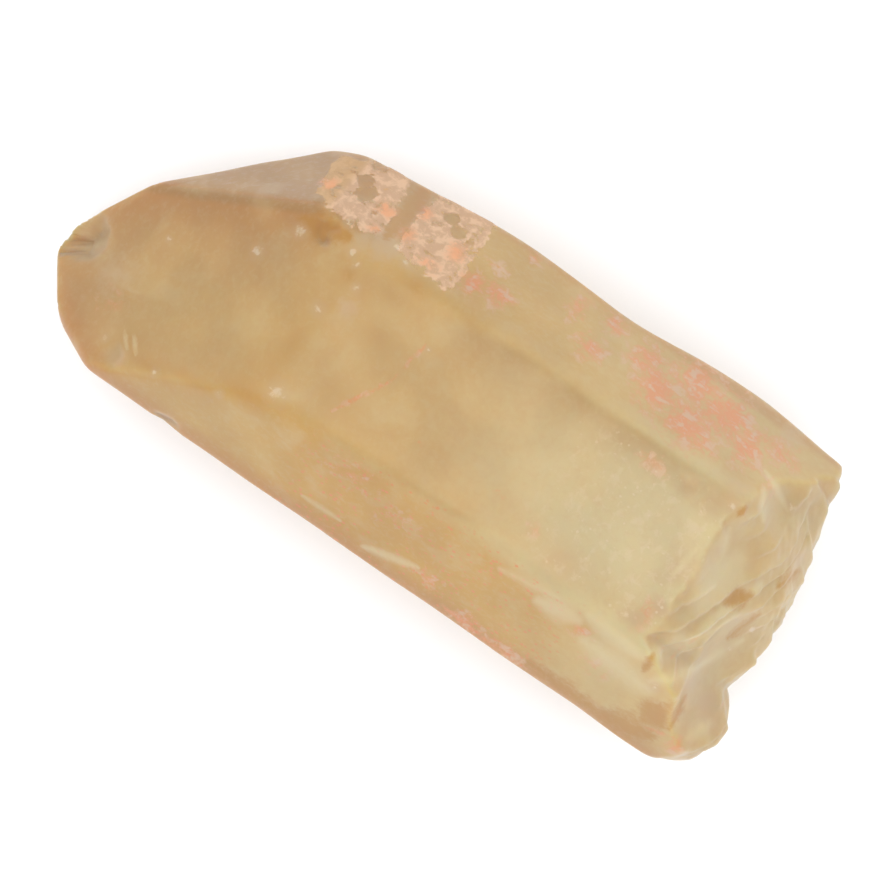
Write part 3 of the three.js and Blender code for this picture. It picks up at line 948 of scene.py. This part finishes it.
def body_colour(p, hues):
    """The quartz: tan at the tip, honey in the middle, pale by the break (partly painted sheen), then
    faces, edges, hollows.
    """
    drift = (p.noise(0.11, 2.0, 0.5, 0.6) - 0.5) * 14.0
    tint = p.lay(
        hues.honey,
        (p.step(p.x + drift, 9.0, 24.0), hues.tan),
        # paler towards the break: partly the quartz's own tone, partly painted sheen of the overhead light
        (p.step(p.x + drift, 2.0, -20.0), hues.pale),
    )
    for painted in (face_colour, tip_colour, edge_colour):
        tint = painted(p, hues, tint, drift)
    hollow = p.mark("hollow")
    struck = p.step(p.x, 5.0, 9.0) * p.step(p.x, 22.0, 20.0)
    struck = struck.math("MAXIMUM", p.step(p.x, 28.0, 30.0) * 0.45)
    mottle = p.noise(0.32, 1.5, 0.5, 0.5, (3.0, 1.0, 7.0))
    return p.lay(
        tint,
        (hollow * 0.85, hues.heart),
        (hollow * struck * 0.9, hues.shade),
        (p.step(mottle, 0.5, 0.72) * 0.2, hues.pale),
        (p.step(mottle, 0.48, 0.27) * 0.13, hues.rim),
    )


def flawed_colour(p, hues, tint, grain, patchy, crumbs):
    """The quartz's colour with its grain, stains, dots, haze, feathers, burns, bruises and pits."""
    shift = (grain - 0.5) * 1.9
    cells = p.cells(1.65)
    bloom, haze = p.mark("bloom"), p.mark("haze")
    reddened = p.mix(p.step(crumbs + patchy, 0.98, 1.2), hues.coral, hues.blush)
    stained = p.step(bloom + (crumbs - 0.5) * 2.2 + (patchy - 0.5) * 0.6, 0.15, 0.95)
    left = p.step(p.face_height("prism_upper_left"), -0.5, -0.05) * p.step(p.x, 9.0, 5.0)
    left = left * p.step(p.x, -24.0, -16.0)
    dots = p.step(cells + shift * 0.1, 0.38, 0.14) * p.step(patchy, 0.45, 0.53)
    bruise = p.mark("bruise") + shift * 1.6
    near_break = p.step(p.x, -8.0, -16.0) * p.step(p.face_height("prism_top"), -0.4, -0.1)
    pits = p.step(cells + shift * 0.35, 0.26, 0.05) * p.step(patchy, 0.5, 0.57)
    return p.lay(
        tint,
        (p.step(grain, 0.46, 0.76) * 0.2, hues.pale),
        (p.step(grain, 0.54, 0.28) * 0.1, hues.rim),
        (stained * p.step(bloom, 0.02, 0.25), reddened),
        (dots * left * 0.9, hues.rust),
        (p.step(haze + shift * 0.4, 0.1, 0.75) * p.step(haze, 0.02, 0.2) * 0.75, hues.lilac),
        (p.mark("smudge") * p.step(grain, 0.2, 0.6), hues.burn),
        (p.step(p.mark("feather") + shift, 2.1, 0.1) * 0.65, hues.cream),
        (p.step(p.mark("burn") + shift, 2.0, 0.3) * 0.86, hues.burn),
        (p.step(bruise, 2.2, 0.8) * 0.35, hues.lilac),
        (p.step(bruise, 0.9, 0.2) * 0.6, hues.frost),
        (p.step(crumbs, 0.5, 0.66) * near_break * 0.28, hues.frost),
        (pits * near_break * 0.6, hues.frost),
    )


def crust_colour(p, hues, grain, crumbs):
    """The crust: pink-white, with painted shade where it lies on the small right tip face, stained coral
    where it blooms, with dark pores.
    """
    return p.lay(
        hues.crust,
        (p.step(crumbs, 0.46, 0.62) * 0.5, hues.blush),
        # painted shade on the crust where it lies on the small right tip face
        (p.step(p.face_height("rhomb_upper_right"), -0.5, -0.1) * 0.58, hues.shade),
        (p.step(p.mark("bloom") + (crumbs - 0.5) * 1.8, 0.3, 1.0) * 0.85, hues.stain),
        (p.step(grain + crumbs, 0.84, 0.66) * 0.55, hues.burn),
    )


def citrine_material(hues, sizes):
    """Cloudy quartz, part milk and part glass, with chalky crust where its outline says."""
    p = Paint("citrine")
    grain = p.noise(1.6, 4.0, 0.62, 0.4)
    patchy = p.noise(0.6, 3.0, 0.62, 0.8, (9.0, 2.0, 4.0), (0.8, 1.5, 1.0))
    crumbs = p.noise(1.2, 3.0, 0.65, 0.3, (2.0, 5.0, 1.0), (0.9, 0.8, 0.35))
    tint = flawed_colour(p, hues, body_colour(p, hues), grain, patchy, crumbs)
    quartz = p.output(
        "ShaderNodeBsdfPrincipled", {"subsurface_method": "RANDOM_WALK"},
        Base_Color=tint, Roughness=QUARTZ_ROUGH, IOR=QUARTZ_IOR, Transmission_Weight=QUARTZ_CLEAR,
        Subsurface_Weight=1.0, Subsurface_Radius=QUARTZ_SPREAD, Subsurface_Scale=sizes.light_path,
    )
    chalk = p.output(
        "ShaderNodeBsdfPrincipled", None, Base_Color=crust_colour(p, hues, grain, crumbs), Roughness=0.8,
        Normal=p.output("ShaderNodeBump", None, Strength=0.6, Distance=0.06 * MM, Height=grain),
    )
    ragged = (grain + crumbs - 1.0) * 1.3
    cover = p.step(p.mark("crust") + ragged, -0.02, 0.14)
    worn = p.step(crumbs + patchy, 0.74, 0.9)
    surface = p.output("ShaderNodeMixShader", None, cover * worn * 0.85, quartz, chalk)
    return p.finish(surface, p.output(
        "ShaderNodeVolumeAbsorption", None, Color=(*hues.absorbed, 1.0), Density=QUARTZ_DENSITY,
    ))


def veil_material(hues):
    """Thin healed flakes: pale, with a satin sheen."""
    p = Paint("healed veil")
    return p.plain(p.mix(p.noise(0.8, 3.0), hues.veil, hues.frost), 0.35)


def feather_material(hues):
    """Healed cracks: cream, brighter in streaks."""
    p = Paint("feather")
    streaks = p.step(p.noise(1.2, 4.0, 0.6, 0.5), 0.35, 0.65)
    return p.plain(p.mix(streaks, hues.cream, hues.gleam), 0.5)


def bruise_material(hues):
    """Fresh cracks that throw the light back."""
    p = Paint("bruise")
    return p.plain(p.mix(p.noise(3.0, 2.0), hues.spark, hues.dull), 0.3)


def speck_material(hues):
    """Iron-red specks."""
    p = Paint("speck")
    return p.plain(p.mix(p.step(p.noise(0.9, 2.0), 0.4, 0.6), hues.rust, hues.coral), 0.6)


# ---- operators ----
def chosen(context):
    """The sizes and colours set in the sidebar."""
    return context.scene.citrine_sizes, context.scene.citrine_colours


class CITRINE_OT_crystal(bpy.types.Operator):
    """Build the crystal itself"""

    bl_idname = "citrine.crystal"
    bl_label = "Crystal"

    def execute(self, context):
        sizes, hues = chosen(context)
        points, triangles = crystal_mesh(sizes)
        material = citrine_material(hues, sizes)
        piece = make_piece("citrine_point", points, triangles, material, marks(points, sizes))
        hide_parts(NODE)
        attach(piece, BODY)
        return {"FINISHED"}


class CITRINE_OT_veils(bpy.types.Operator):
    """Seal the healed veils in the stone"""

    bl_idname = "citrine.veils"
    bl_label = "Healed veils"

    def execute(self, context):
        (sizes, hues), rng = chosen(context), np.random.default_rng(VEIL_SEED)
        each = sizes.veil_flakes
        shapes = [flakes(*veil_flakes(veil, each, rng), VEIL_THINNESS, rng) for veil in VEILS]
        seal_in(make_piece("healed_veils", *joined(shapes), veil_material(hues)))
        return {"FINISHED"}


class CITRINE_OT_feathers(bpy.types.Operator):
    """Seal the cream feathers in the stone"""

    bl_idname = "citrine.feathers"
    bl_label = "Cream feathers"

    def execute(self, context):
        sizes, hues = chosen(context)
        shapes = [feather_lens(line, sizes) for line in FEATHERS]
        seal_in(make_piece("cream_feathers", *joined(shapes), feather_material(hues)))
        return {"FINISHED"}


class CITRINE_OT_bruises(bpy.types.Operator):
    """Seal the bright bruises in the stone"""

    bl_idname = "citrine.bruises"
    bl_label = "Bright bruises"

    def execute(self, context):
        (sizes, hues), rng = chosen(context), np.random.default_rng(BRUISE_SEED)
        shape = flakes(*bruise_flakes(sizes, rng), BRUISE_THINNESS, rng)
        seal_in(make_piece("bright_bruises", *shape, bruise_material(hues)))
        return {"FINISHED"}


class CITRINE_OT_specks(bpy.types.Operator):
    """Seal the red specks in the stone"""

    bl_idname = "citrine.specks"
    bl_label = "Red specks"

    def execute(self, context):
        (sizes, hues), rng = chosen(context), np.random.default_rng(SPECK_SEED)
        shape = flakes(*speck_rows(sizes, rng), SPECK_THINNESS, rng)
        seal_in(make_piece("red_specks", *shape, speck_material(hues)))
        return {"FINISHED"}


class CITRINE_OT_studio(bpy.types.Operator):
    """Set the floor, lights and camera"""

    bl_idname = "citrine.studio"
    bl_label = "Studio"

    def execute(self, context):
        scene, studio = context.scene, context.scene.citrine_studio
        mesh = bpy.data.meshes.new("floor")
        corners = [(x * FLOOR_REACH, y * FLOOR_REACH, 0) for x, y in ((-1, -1), (1, -1), (1, 1), (-1, 1))]
        mesh.from_pydata(corners, [], [(0, 1, 2, 3)])
        floor = bpy.data.objects.new("floor", mesh)
        scene.collection.objects.link(floor)
        floor.data.materials.append(Paint("floor").plain((*studio.floor, 1.0), 0.9))

        world = bpy.data.worlds.new("studio")
        world.use_nodes = True
        sky = world.node_tree.nodes["Background"]
        sky.inputs["Color"].default_value = (1, 1, 1, 1)
        sky.inputs["Strength"].default_value = studio.sky
        scene.world = world

        lamp = bpy.data.lights.new("softbox", "AREA")
        lamp.shape, lamp.size, lamp.energy = "DISK", SOFTBOX_SIZE, studio.softbox
        box = bpy.data.objects.new("softbox", lamp)
        box.location = SOFTBOX_PLACE
        box.rotation_euler = Vector(box.location).to_track_quat("Z", "Y").to_euler()
        scene.collection.objects.link(box)

        eye = bpy.data.cameras.new("camera")
        eye.lens = CAMERA_LENS
        camera = bpy.data.objects.new("camera", eye)
        x, y = CAMERA_PLACE
        camera.location = (x * MM, y * MM, THICKNESS * MM + studio.camera_height)
        camera.rotation_euler = (0, 0, math.radians(CAMERA_TURN))
        scene.collection.objects.link(camera)
        scene.camera = camera
        scene.view_settings.view_transform = "Standard"
        return {"FINISHED"}


STEPS = (
    CITRINE_OT_crystal, CITRINE_OT_veils, CITRINE_OT_feathers, CITRINE_OT_bruises, CITRINE_OT_specks,
    CITRINE_OT_studio,
)
GROUPS = {
    "citrine_sizes": CitrineSizes,
    "citrine_colours": CitrineColours,
    "citrine_studio": CitrineStudio,
}


class CITRINE_PT_panel(bpy.types.Panel):
    """Lists the crystal's sizes, colours and building steps"""

    bl_idname = "CITRINE_PT_panel"
    bl_label = "Citrine point"
    bl_space_type = "VIEW_3D"
    bl_region_type = "UI"
    bl_category = "Citrine"

    def draw(self, context):
        for title, group in GROUPS.items():
            column = self.layout.column(align=True)
            for prop in group.__annotations__:
                column.prop(getattr(context.scene, title), prop)
        for step in STEPS:
            self.layout.operator(step.bl_idname)


CLASSES = (*GROUPS.values(), *STEPS, CITRINE_PT_panel)


def register():
    for cls in CLASSES:
        bpy.utils.register_class(cls)
    for title, group in GROUPS.items():
        setattr(bpy.types.Scene, title, PointerProperty(type=group))


def unregister():
    for title in GROUPS:
        delattr(bpy.types.Scene, title)
    for cls in reversed(CLASSES):
        bpy.utils.unregister_class(cls)


def main():
    register()
    bpy.ops.citrine.crystal()
    bpy.ops.citrine.veils()
    bpy.ops.citrine.feathers()
    bpy.ops.citrine.bruises()
    bpy.ops.citrine.specks()
    bpy.ops.citrine.studio()


if __name__ == "__main__":
    main()
